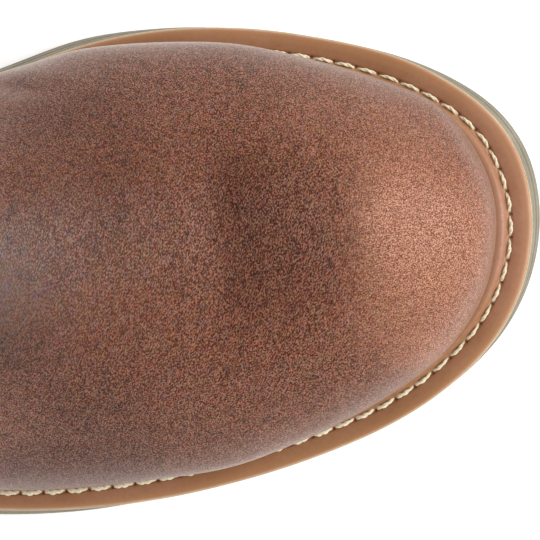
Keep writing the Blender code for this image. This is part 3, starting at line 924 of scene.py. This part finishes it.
def stitches(name, kind, line, up, bold, pitch, is_closed, seed):
    """A row of two-ply stitches along a line of points, each ending in its needle holes."""
    dice = random.Random(seed)
    radius, offset, rise, twists, bow, waver = (column[kind] for column in THREADS.values())
    if is_closed:
        line, up, bold = (closed(values) for values in (line, up, bold))
    lengths = line_lengths(line)
    count = max(1, round(lengths[-1] / pitch))
    step = lengths[-1] / count
    share = np.linspace(STITCH_FROM, STITCH_TO, THREAD_STEPS)
    thick = np.interp(share, STITCH_FORM["share"], STITCH_FORM["thick"])
    arc = np.clip(np.sin(math.pi * share), 0.0, 1.0) ** STITCH_ARC
    tubes = []
    for stitch in range(count):
        at = np.clip((stitch + share + dice.uniform(-STITCH_STRAY, STITCH_STRAY)) * step, 0.0, lengths[-1])
        middle = points_at(at, lengths, line)
        lift = unit(points_at(at, lengths, up))
        along = unit(np.gradient(middle, axis=0))
        side = unit(np.cross(lift, along))
        lift = np.cross(along, side)
        bowed = bow + dice.uniform(-waver, waver)
        slant = dice.uniform(-waver, waver)
        fat = thick * dice.uniform(LEAST_BOLD, MOST_BOLD) * np.interp(at.mean(), lengths, bold)
        aside = bowed * (np.sin(math.pi * share ** BOW_SKEW) - 0.5) + slant * (share - 0.5)
        middle = middle + lift * (rise * (arc - STITCH_SUNK))[:, None] + side * aside[:, None]
        first_turn = dice.uniform(0.0, 2.0 * math.pi)
        for ply in range(THREAD_PLIES):
            twist = first_turn + 2.0 * math.pi * (twists * share + ply / THREAD_PLIES)
            core = middle + around_axis(side, lift, twist) * (offset * fat)[:, None]
            ring = around_axis(side[:, None, :], lift[:, None, :], turns(THREAD_SIDES)[None, :])
            tubes.append((core[:, None, :] + ring * (radius * fat)[:, None, None]).reshape(-1, 3))
    size = THREAD_STEPS * THREAD_SIDES
    tube = tube_faces(THREAD_STEPS, THREAD_SIDES)
    faces = []
    for first in range(0, len(tubes) * size, size):
        faces += [tuple(first + corner for corner in face) for face in tube]
    return add_mesh(name, np.concatenate(tubes), faces, smooth_to=80.0)


def feed(tree, socket, value):
    """A link where the value is a socket, else a plain value."""
    if isinstance(value, bpy.types.NodeSocket):
        tree.links.new(value, socket)
    else:
        socket.default_value = (*value, 1.0) if isinstance(value, tuple) and socket.type == "RGBA" else value


def add(tree, kind, settings=None, **inputs):
    node = tree.nodes.new("ShaderNode" + kind)
    for key, value in (settings or {}).items():
        setattr(node, key, value)
    for key, value in inputs.items():
        feed(tree, node.inputs[key], value)
    return node


def calc(tree, operation, first, second=0.0, third=0.0):
    node = add(tree, "Math", {"operation": operation})
    for socket, value in zip(node.inputs, (first, second, third)):
        feed(tree, socket, value)
    return node.outputs[0]


def linear(tree, value, slope, base):
    return calc(tree, "MULTIPLY_ADD", value, slope, base)


def off_by(tree, value, middle):
    return calc(tree, "ABSOLUTE", calc(tree, "SUBTRACT", value, middle))


def blend(tree, share, first, second, mode="MIX"):
    node = add(tree, "Mix", {"data_type": "RGBA", "blend_type": mode})
    for socket, value in zip((node.inputs[0], node.inputs[6], node.inputs[7]), (share, first, second)):
        feed(tree, socket, value)
    return node.outputs[2]


def tinted(tree, colour, tint):
    return blend(tree, 1.0, colour, tint, "MULTIPLY")


def span(tree, value, low, high, out_low=0.0, out_high=1.0):
    node = add(tree, "MapRange", {"interpolation_type": "SMOOTHSTEP"})
    for socket, item in zip(node.inputs, (value, low, high, out_low, out_high)):
        feed(tree, socket, item)
    return node.outputs[0]


def layered(tree, colour, layers):
    """Colours laid on in turn: the value each follows, its span, the shares at both ends and the colour."""
    for value, low, high, share_low, share_high, laid_on in layers:
        colour = blend(tree, span(tree, value, low, high, share_low, share_high), colour, laid_on)
    return colour


def new_material(name):
    material = bpy.data.materials.new(name)
    material.use_nodes = True
    return material, material.node_tree


def speckle(tree, scale, detail, roughness, where=None):
    where = where or add(tree, "TexCoord").outputs["Object"]
    return add(tree, "TexNoise", Vector=where, Scale=scale, Detail=detail, Roughness=roughness).outputs["Fac"]


def bump(tree, height, strength, distance):
    """Normals bent by a height; its distance is in metres."""
    return add(tree, "Bump", Strength=strength, Distance=distance, Height=height).outputs["Normal"]


def settled(material, values):
    """The material, with values or links for its shader."""
    tree = material.node_tree
    for key, value in values.items():
        feed(tree, tree.nodes["Principled BSDF"].inputs[key], value)
    return material


# Leather colours as the photo shows them, in linear light
LEATHER_MID = (0.174, 0.063, 0.033)
# worn warm colour of the toe, which also carries a painted highlight
LEATHER_WARM_AND_HIGHLIGHT = (0.375, 0.16, 0.09)
# burnished dark colour, which also carries painted shade
LEATHER_BURNISH_AND_SHADE = (0.1, 0.027, 0.009)
# bluish grey painted reflection of the light on the steep instep
LEATHER_PAINTED_REFLECTION = (0.122, 0.075, 0.06)
# painted pale sheen on the steep sides of the leather
LEATHER_PAINTED_SHEEN = (0.2, 0.092, 0.056)

# Shares of the leather's colour: in its spots, in its two changes of hue, as painted shade deep in the grain
# and as a painted highlight on its tips
MOTTLE = (0.53, 0.55, 0.64)
HUE_ORANGE = (1.09, 0.98, 0.83)
HUE_GREY = (0.9, 1.01, 1.15)
HUE_PINK = (1.03, 0.965, 1.06)
HUE_OLIVE = (0.97, 1.035, 0.94)
RECESS_SHADE = (0.36, 0.195, 0.135)
TIP_HIGHLIGHT = (1.85, 2.1, 2.28)
TRIM_SHADE = 0.8            # the trim's leather is darker

# Scales of the leather's noises, for a metre
GRAIN_SCALE = 3300.0
CLUMP_SCALE = 900.0
HUE_SCALE = 800.0
CAST_SCALE = 520.0
SPOT_SCALE = 430.0
SWAY_SCALE = 60.0
GRAIN_TURN = 68.0           # degrees; the grain is drawn out along this direction
GRAIN_STRETCH = 0.6
PEBBLES = (-0.5, 0.22)      # share and level of the parts of the grain's height
FURROWS = (1.4, -0.7)
CLUMPS = (0.3, 0.35)
TIP_POWER = 1.3             # over 1, the painted highlight on the tips is narrower than the painted shade in the recesses
TIP_MIDDLE = 0.44           # what flat leather shows between recess and tip
PAINTED_SHEEN_SHARE = 0.45           # of the painted pale sheen's colour where the leather is pulled smooth
SHEEN = 0.27


def grain_height(tree, where):
    """Pebbles between short wandering furrows, about 0 to 1."""
    smooth_cells = {"feature": "SMOOTH_F1"}
    cells = add(tree, "TexVoronoi", smooth_cells, Vector=where, Scale=GRAIN_SCALE, Smoothness=0.25)
    pebbles = linear(tree, cells.outputs["Distance"], *PEBBLES)
    furrows = linear(tree, speckle(tree, GRAIN_SCALE, 0.0, 0.5, where), *FURROWS)
    clumps = linear(tree, speckle(tree, CLUMP_SCALE, 1.0, 0.5, where), *CLUMPS)
    return calc(tree, "ADD", calc(tree, "ADD", pebbles, furrows), clumps)


def grained_leather(name, toned, shade):
    """Fine grain whose paler tips and darker recesses are mostly painted highlight and painted shade, two
    changes of hue and blue-black spots.

    Where it is toned, it follows the tones and the tautness of the piece's points.
    """
    material, tree = new_material(name)
    where = add(tree, "TexCoord").outputs["Object"]
    rotation = (0.0, 0.0, math.radians(-GRAIN_TURN))
    turned = add(tree, "Mapping", Vector=where, Rotation=rotation).outputs["Vector"]
    drawn = add(tree, "Mapping", Vector=turned, Scale=(GRAIN_STRETCH, 1.0, 1.0)).outputs["Vector"]
    sway = linear(tree, speckle(tree, SWAY_SCALE, 4.0, 0.6, where), 0.9, -0.45)
    spot, hue, cast = (speckle(tree, scale, 2.0, 0.6, drawn) for scale in (SPOT_SCALE, HUE_SCALE, CAST_SCALE))
    grain = grain_height(tree, drawn)

    colour = LEATHER_MID
    flat = 0.0
    taut = 0.0
    gloss = 0.0
    clean = 1.0
    sheen = SHEEN
    if toned:
        warm, dark, haze, flat, taut = (
            add(tree, "Attribute", {"attribute_name": key}).outputs["Fac"] for key in (*TONE_NAMES, "taut"))
        warm = span(tree, linear(tree, sway, 0.35, warm), 0.0, 1.0)
        dark = span(tree, linear(tree, sway, 0.5, dark), 0.0, 1.0)
        # warm also paints a highlight and dark also paints shade into the colour; the reflection tone is a
        # painted reflection
        for share, tone in ((warm, LEATHER_WARM_AND_HIGHLIGHT), (dark, LEATHER_BURNISH_AND_SHADE), (haze, LEATHER_PAINTED_REFLECTION)):
            colour = blend(tree, share, colour, tone)
        gloss = calc(tree, "MULTIPLY", linear(tree, haze, 0.55, taut), linear(tree, dark, -0.7, 1.0))
        clean = linear(tree, warm, -0.8, 1.0)
        sheen = linear(tree, dark, -0.2, SHEEN)
        evened = calc(tree, "SUBTRACT", grain_height(tree, where), grain)
        grain = linear(tree, warm, evened, grain)
    tip = calc(tree, "POWER", span(tree, grain, 0.0, 1.0), TIP_POWER)
    relief = linear(tree, flat, -1.0, 1.0)
    tip = linear(tree, calc(tree, "SUBTRACT", tip, TIP_MIDDLE), relief, TIP_MIDDLE)

    hues = blend(tree, span(tree, hue, 0.34, 0.66), HUE_GREY, HUE_ORANGE)
    casts = blend(tree, span(tree, cast, 0.36, 0.64), HUE_OLIVE, HUE_PINK)
    colour = blend(tree, clean, colour, tinted(tree, hues, casts), "MULTIPLY")
    spots = span(tree, linear(tree, sway, 0.25, spot), 0.54, 0.7, 0.0, 0.65)
    colour = blend(tree, calc(tree, "MULTIPLY", spots, clean), colour, MOTTLE, "MULTIPLY")
    # painted shade in the grain's recesses and a painted highlight on its tips
    low, high = (tinted(tree, colour, tuple(part * shade for part in tone)) for tone in (RECESS_SHADE, TIP_HIGHLIGHT))
    # a painted pale sheen where the leather is taut on the steep sides
    colour = blend(tree, calc(tree, "MULTIPLY", taut, PAINTED_SHEEN_SHARE), blend(tree, tip, low, high), LEATHER_PAINTED_SHEEN)
    height = calc(tree, "MULTIPLY", grain, linear(tree, taut, -0.8, relief))
    return settled(material, {
        "Base Color": colour,
        "Roughness": linear(tree, gloss, -0.16, span(tree, tip, 0.0, 1.0, 0.55, 0.4)),
        "Specular IOR Level": linear(tree, gloss, 0.3, span(tree, tip, 0.0, 1.0, 0.1, 0.5)),
        "Sheen Weight": sheen,
        "Sheen Roughness": 0.3,
        "Sheen Tint": (1.0, 0.89, 0.72),
        "Normal": bump(tree, height, 0.45, 0.00012)})


# Welt colours in linear light, and shares of them along its sides, at the toe and on the toe's outer side
WELT_TAN = (0.42, 0.2, 0.112)
WELT_ROSE = (0.48, 0.245, 0.16)
WELT_FIBRE = (0.34, 0.145, 0.07)
WELT_OUTSIDE = (0.52, 0.26, 0.13)
# painted light on the rib's inner slope and crest, where the upper's wall shades it
WELT_RIB_HIGHLIGHT = (0.62, 0.36, 0.24)
# painted light that lifts the shade between the rib and the sewing
WELT_FLANK_LIGHT = (0.74, 0.45, 0.25)
# painted shadow line along the outer side of the sewing
WELT_STITCH_SHADOW = (0.19, 0.095, 0.045)
# painted shade in the needle holes
WELT_HOLE_SHADE = (0.07, 0.035, 0.018)
WELT_SIDE_SHADE = (0.8, 0.73, 0.55)
WELT_TOE_SHADE = (1.03, 1.03, 1.05)
WELT_OUTER_SHADE = (0.93, 0.92, 0.83)
TOE_SPAN = (0.122, 0.156)   # metres along the boot in which the shade of the sides turns into the toe's
OUTER_SPAN = (0.06, 0.09)   # metres along and across it in which the outer shade comes in
OUTER_ACROSS = (-0.01, 0.005)
RIB_FLANK = 2.5             # from the welt's inner edge to the foot of its rib, where painted light lifts the shade between rib and sewing
STITCH_SHADOW_OFF = 0.55             # the painted shadow beside the sewing and the needle holes' painted shade lie this far outside its line
HOLE_OFF = 0.3


def welt_leather():
    """Smooth satin strip with painted light on its rib and at the rib's foot; a painted shadow runs beside
    the sewing and its needle holes hold painted shade.
    """
    material, tree = new_material("welt_leather_satin")
    where = add(tree, "TexCoord").outputs["Object"]
    strip = add(tree, "SeparateXYZ", Vector=add(tree, "UVMap", {"uv_map": "along"}).outputs["UV"]).outputs
    place = add(tree, "SeparateXYZ", Vector=where).outputs
    inside = strip["Y"]
    patch = speckle(tree, 90.0, 3.0, 0.6, where)
    fibre = speckle(tree, 900.0, 3.0, 0.65, where)
    # painted light on the rib and at its foot, against the shade there
    colour = layered(tree, WELT_TAN, (
        (patch, 0.3, 0.7, 0.0, 1.0, WELT_ROSE),
        (fibre, 0.35, 0.65, 0.0, 0.3, WELT_FIBRE),
        (inside, 5.0, 6.6, 0.0, 0.5, WELT_OUTSIDE),
        (inside, 0.1, 0.9, 0.7, 0.0, WELT_RIB_HIGHLIGHT),
        (off_by(tree, inside, RIB_FLANK), 0.15, 0.4, 0.7, 0.0, WELT_FLANK_LIGHT)))
    rubbed = span(tree, place["X"], *TOE_SPAN)
    colour = tinted(tree, colour, blend(tree, rubbed, WELT_SIDE_SHADE, WELT_TOE_SHADE))
    outer = span(tree, place["Y"], *OUTER_ACROSS, 1.0, 0.0)
    outer = calc(tree, "MULTIPLY", outer, span(tree, place["X"], *OUTER_SPAN))
    colour = blend(tree, outer, colour, WELT_OUTER_SHADE, "MULTIPLY")

    # needle holes darkened with painted shade, and sunk a little by the bump
    nearest = off_by(tree, calc(tree, "FRACT", calc(tree, "ADD", strip["X"], 0.5)), 0.5)
    along = calc(tree, "MULTIPLY", nearest, STITCH_PITCH)
    across = off_by(tree, inside, STITCH_LINE + HOLE_OFF)
    away = calc(tree, "SQRT", linear(tree, along, along, calc(tree, "MULTIPLY", across, across)))
    hole = span(tree, away, 0.15, 0.42, 0.8, 0.0)
    # painted shadow line along the outer side of the sewing
    colour = layered(tree, colour, (
        (off_by(tree, inside, STITCH_LINE + STITCH_SHADOW_OFF), 0.08, 0.3, 0.3, 0.0, WELT_STITCH_SHADOW),))
    height = calc(tree, "SUBTRACT", calc(tree, "MULTIPLY", fibre, 0.25), hole)
    return settled(material, {
        "Base Color": blend(tree, hole, colour, WELT_HOLE_SHADE),
        "Roughness": span(tree, fibre, 0.3, 0.7, 0.4, 0.52),
        "Specular IOR Level": 0.4,
        "Sheen Weight": 0.08,
        "Coat Weight": 0.1,
        "Coat Roughness": 0.3,
        "Normal": bump(tree, height, 0.35, 0.0004)})


# Base and second colours of the other materials in linear light
OUTSOLE_OLIVE = ((0.24, 0.21, 0.15), (0.32, 0.285, 0.215))
MIDSOLE_CREAM = ((0.6, 0.43, 0.25), (0.7, 0.55, 0.36))
THREAD_CREAM = ((0.95, 0.9, 0.73), (0.78, 0.67, 0.43))
THREAD_BROWN = ((0.3, 0.17, 0.09), (0.12, 0.06, 0.03))
SOCK_SAND = ((0.46, 0.34, 0.22), (0.22, 0.15, 0.09))
LINING_TAN = ((0.36, 0.22, 0.12), (0.46, 0.3, 0.18))
LINING_PORES = (0.2, 0.11, 0.06)
RUBBER_PITS = 0.6           # share of the base colour in the rubber's pits
ROUGHNESS_SWING = 0.06


def rubber(name, base, worn, roughness):
    material, tree = new_material(name)
    fine = speckle(tree, 1500.0, 3.0, 0.6)
    broad = speckle(tree, 70.0, 4.0, 0.65)
    return settled(material, {
        "Base Color": layered(tree, base, (
            (broad, 0.35, 0.7, 0.0, 1.0, worn),
            (fine, 0.4, 0.7, 0.0, 0.25, tuple(RUBBER_PITS * part for part in base)))),
        "Roughness": span(tree, broad, 0.3, 0.7, roughness - ROUGHNESS_SWING, roughness + ROUGHNESS_SWING),
        "Specular IOR Level": 0.35,
        "Normal": bump(tree, fine, 0.25, 0.0002)})


def thread(name, base, shade):
    material, tree = new_material(name)
    fuzz = speckle(tree, 3000.0, 2.0, 0.6)
    soil = speckle(tree, 160.0, 3.0, 0.6)
    return settled(material, {
        "Base Color": layered(tree, shade, (
            (fuzz, 0.35, 0.65, 0.0, 1.0, base),
            (soil, 0.5, 0.75, 0.0, 0.35, shade))),
        "Roughness": 0.6,
        "Specular IOR Level": 0.3,
        "Sheen Weight": 0.15,
        "Normal": bump(tree, fuzz, 0.3, 0.0001)})


def cloth(name, base, shade):
    """A close weave for the sock inside."""
    material, tree = new_material(name)
    where = add(tree, "TexCoord").outputs["Object"]
    waves = []
    for way in ("X", "Y"):
        wave = add(tree, "TexWave", {"bands_direction": way}, Vector=where, Scale=420.0, Distortion=0.6)
        waves.append(wave.outputs["Fac"])
    weave = calc(tree, "MAXIMUM", *waves)
    return settled(material, {
        "Base Color": blend(tree, weave, shade, base),
        "Roughness": 0.85,
        "Specular IOR Level": 0.2,
        "Normal": bump(tree, weave, 0.4, 0.0003)})


def lining():
    """Plain undyed leather inside the shaft and foot."""
    material, tree = new_material("lining_leather")
    pores = speckle(tree, 1300.0, 3.0, 0.6)
    broad = speckle(tree, 45.0, 3.0, 0.6)
    base, pale = LINING_TAN
    return settled(material, {
        "Base Color": layered(tree, base, (
            (broad, 0.3, 0.7, 0.0, 1.0, pale),
            (pores, 0.5, 0.7, 0.0, 0.4, LINING_PORES))),
        "Roughness": 0.7,
        "Specular IOR Level": 0.3,
        "Normal": bump(tree, pores, 0.3, 0.0002)})


def wear(piece, node, material):
    """Give a piece its material and let it ride on the boot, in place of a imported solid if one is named."""
    piece.data.materials.clear()
    piece.data.materials.append(material)
    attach(piece, "root")
    if node:
        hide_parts(node)


# Stage, in metres
FLOOR_HEIGHT = -0.0003
FLOOR_HALF = 6.0
FLOOR_GLOW = 0.42
SKY_SIDES = 0.95            # the sky's strength from its sides, up to a height, and overhead
SKY_SIDES_TO = 0.3
SKY_OVERHEAD = 0.62
LAMP_AIM = (0.09, 0.0, 0.04)
LAMP_DIRECTION = (0.82, 0.12, 0.57)
LAMP_DISTANCE = 1.6
LAMP_SIZE = (1.0, 1.3)
LAMP_POWER = 18.0
CAMERA_PLACE = (0.0916, 0.0002, 1.4)
CAMERA_LENS = 393.3


def make_floor():
    mesh = bpy.data.meshes.new("floor")
    corners = ((-1.0, -1.0), (1.0, -1.0), (1.0, 1.0), (-1.0, 1.0))
    mesh.from_pydata([(x * FLOOR_HALF, y * FLOOR_HALF, FLOOR_HEIGHT) for x, y in corners], [], [(0, 1, 2, 3)])
    floor = put("floor", mesh)
    mesh.materials.append(settled(new_material("floor_white")[0], {
        "Base Color": (0.9, 0.9, 0.9),
        "Roughness": 0.9,
        "Specular IOR Level": 0.1,
        "Emission Color": (1.0, 1.0, 1.0),
        "Emission Strength": FLOOR_GLOW}))


def make_lights():
    """An even sky and a soft lamp that looks at the forefoot from the toe."""
    world = bpy.data.worlds.new("studio")
    world.use_nodes = True
    tree = world.node_tree
    sky = tree.nodes["Background"]
    height = add(tree, "SeparateXYZ", Vector=add(tree, "TexCoord").outputs["Generated"]).outputs["Z"]
    feed(tree, sky.inputs["Color"], (1.0, 1.0, 1.0))
    feed(tree, sky.inputs["Strength"], span(tree, height, SKY_SIDES_TO, 1.0, SKY_SIDES, SKY_OVERHEAD))
    bpy.context.scene.world = world

    lamp = bpy.data.lights.new("toe_softbox", "AREA")
    lamp.shape = "RECTANGLE"
    lamp.size, lamp.size_y = LAMP_SIZE
    lamp.energy = LAMP_POWER
    piece = put("toe_softbox", lamp)
    way = Vector(LAMP_DIRECTION).normalized()
    piece.location = Vector(LAMP_AIM) + way * LAMP_DISTANCE
    piece.rotation_euler = way.to_track_quat("Z", "Y").to_euler()
    piece.visible_camera = False


def make_camera():
    """Straight down on the forefoot, as the photo was taken."""
    data = bpy.data.cameras.new("camera")
    data.sensor_width = 36.0
    data.lens = CAMERA_LENS
    data.clip_end = 50.0
    camera = put("camera", data)
    camera.location = CAMERA_PLACE
    bpy.context.scene.camera = camera


TRIM_PITCH = 3.4            # from stitch to stitch on the binding and the side seams
BINDING_SEWING_OUT = 1.55   # the sewing's distance from the collar's and the seams' leather
SEAM_SEWING_OUT = 1.2
WELT_SEWING_UP = 0.25       # the welt's sewing lies this far over the floor of its groove
SEAM_SEED = 11              # the seams' rows of stitches have this seed and the next three


def make_boot():
    leather = grained_leather("upper_leather_grain", True, 1.0)
    trim = grained_leather("trim_leather_grain", False, TRIM_SHADE)
    cream = thread("welt_thread_cream", *THREAD_CREAM)
    brown = thread("trim_thread_brown", *THREAD_BROWN)
    olive = rubber("outsole_rubber_olive", *OUTSOLE_OLIVE, roughness=0.66)
    pale = rubber("midsole_cream", *MIDSOLE_CREAM, roughness=0.62)

    wear(make_outsole(), "outsole", olive)
    wear(make_midsole(), "midsole", pale)
    wear(make_welt(), "welt", welt_leather())
    wear(make_insole(), "insole", cloth("insole_weave", *SOCK_SAND))

    places, grid = upper_grid()
    upper = make_upper(grid)
    wear(upper, "upper", leather)
    upper.data.materials.append(lining())

    wear(make_binding(), "collar_binding", trim)
    collar, up, out = collar_frame()
    line = collar + out * BINDING_SEWING_OUT + up * BINDING_SEWING
    even = np.ones(len(line))
    row = stitches("binding_stitches", TRIM_THREAD, line, out, even, TRIM_PITCH, True, seed=5)
    wear(row, None, brown)

    seed = SEAM_SEED
    for side in ("medial", "lateral"):
        rows, away = seam_lines(places, grid, side == "medial")
        wear(make_side_seam(side, rows, away), "side_seam_" + side, trim)
        even = np.ones(len(rows))
        for edge, column in (("back", -2), ("front", -1)):
            line = rows[:, column] + away * SEAM_SEWING_OUT
            name = "seam_stitches_" + side + "_" + edge
            wear(stitches(name, TRIM_THREAD, line, away, even, TRIM_PITCH, False, seed), None, brown)
            seed += 1

    count, lengths = stitch_count()
    line = sewing_line(GROOVE_FLOOR + WELT_SEWING_UP)
    upward = np.tile((0.0, 0.0, 1.0), (STATIONS, 1))
    bold = sewing_value("bold_m", "bold_l")
    row = stitches("welt_stitches", WELT_THREAD, line, upward, bold, lengths[-1] / count, True, seed=3)
    wear(row, None, cream)


make_boot()
make_floor()
make_lights()
make_camera()
bpy.context.scene.view_settings.view_transform = "Standard"
